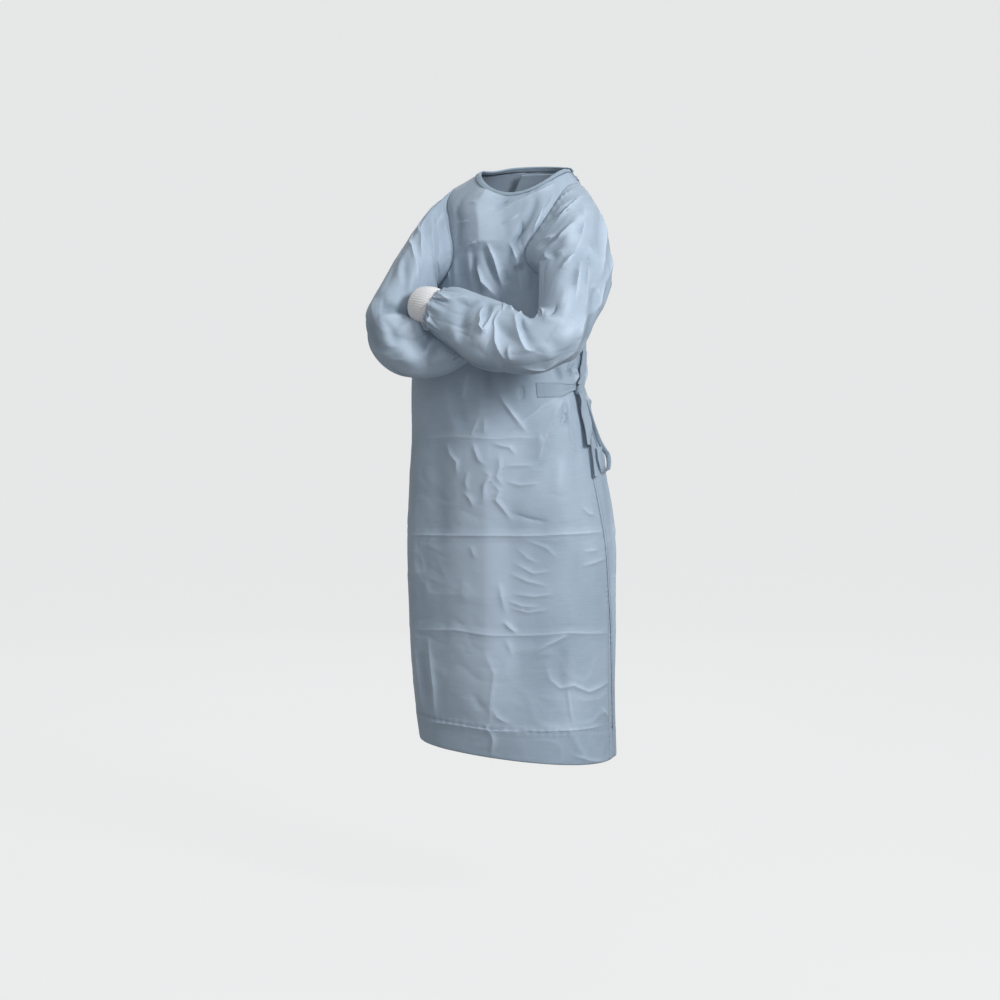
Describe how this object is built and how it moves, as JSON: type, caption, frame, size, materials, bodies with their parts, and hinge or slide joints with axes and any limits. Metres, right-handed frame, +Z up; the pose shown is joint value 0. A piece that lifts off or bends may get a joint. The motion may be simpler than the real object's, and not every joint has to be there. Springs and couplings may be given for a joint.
{
  "type": "surgical gown",
  "caption": "Wrap-back surgical gown worn with crossed arms: hollow cloth walls with knit cuffs, a bound neck and side ties.",
  "frame": {"origin": "base of the neck, in the middle of the neck opening, where the wearer's shoulders carry the gown", "axes": "+Z up along the wearer's body, -Y the way the wearer faces, +X towards the wearer's left"},
  "size_m": [0.4848, 0.454, 1.2192],
  "materials": {
    "cloth": "matt nonwoven cloth with a faint sheen, pale blue-grey",
    "knit": "white rib knit",
    "binding": "folded strip of the same cloth",
    "tape": "flat tape of the same cloth"
  },
  "bodies": {
    "root": {"front_panel": "cloth", "back_left_panel": "cloth", "back_right_panel": "cloth", "sleeve_left": "cloth", "sleeve_right": "cloth", "cuff_left": "knit", "cuff_right": "knit", "neck_binding": "binding", "tie_front": "tape", "tie_flap": "tape", "tie_knot": "tape", "tie_loop": "tape", "tie_tail_long": "tape", "tie_tail_short": "tape", "neck_tab": "tape"}
  },
  "joints": []
}
